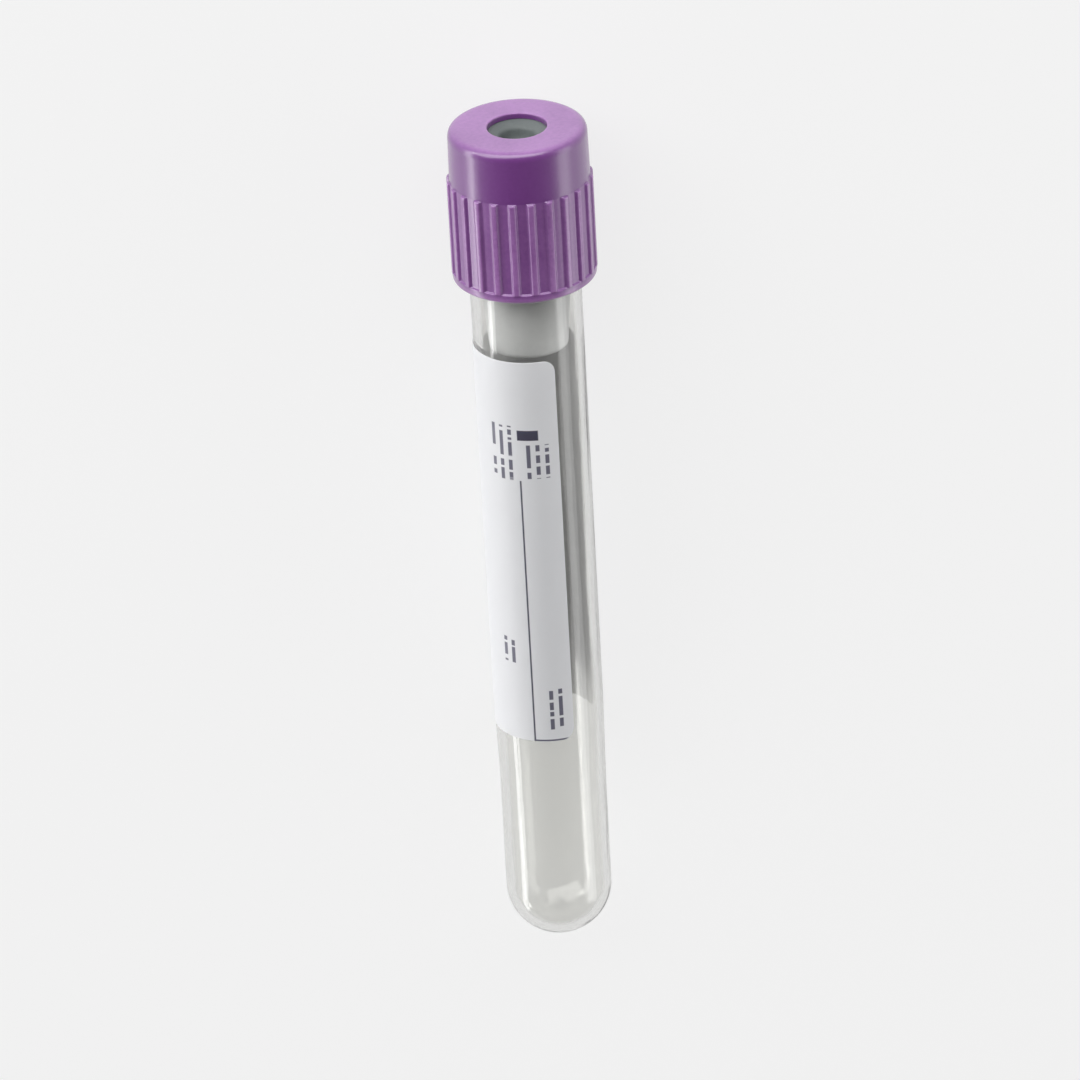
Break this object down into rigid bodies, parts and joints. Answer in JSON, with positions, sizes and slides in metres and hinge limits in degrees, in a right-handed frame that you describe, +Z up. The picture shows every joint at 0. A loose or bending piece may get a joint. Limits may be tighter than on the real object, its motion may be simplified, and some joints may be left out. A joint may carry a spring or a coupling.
{
  "type": "blood collection tube",
  "caption": "Clear round-bottomed sample tube with a paper label and a ribbed lavender closure whose rubber stopper takes a needle through a round port.",
  "frame": {"origin": "centre of the bounding box at the floor that the lying tube rests on", "axes": "+X from the tube's round bottom towards its closure, +Z up from the floor; the tube's own axis lies in the XZ plane and rises slightly towards +X"},
  "size_m": [0.107, 0.017, 0.0172],
  "materials": {
    "clear_plastic": "clear, smooth",
    "label_paper": "matt paper",
    "stopper_rubber": "matt moulded rubber",
    "lavender_plastic": "satin moulded plastic"
  },
  "bodies": {
    "tube": {"tube": "clear_plastic", "label": "label_paper"},
    "closure": {"closure_shield": "lavender_plastic", "stopper": "stopper_rubber"}
  },
  "joints": [
    {"name": "closure_pull", "type": "slide", "parent": "tube", "child": "closure", "axis": [0.9997, 0, 0.0255], "range_m": [0, 0.03]}
  ]
}
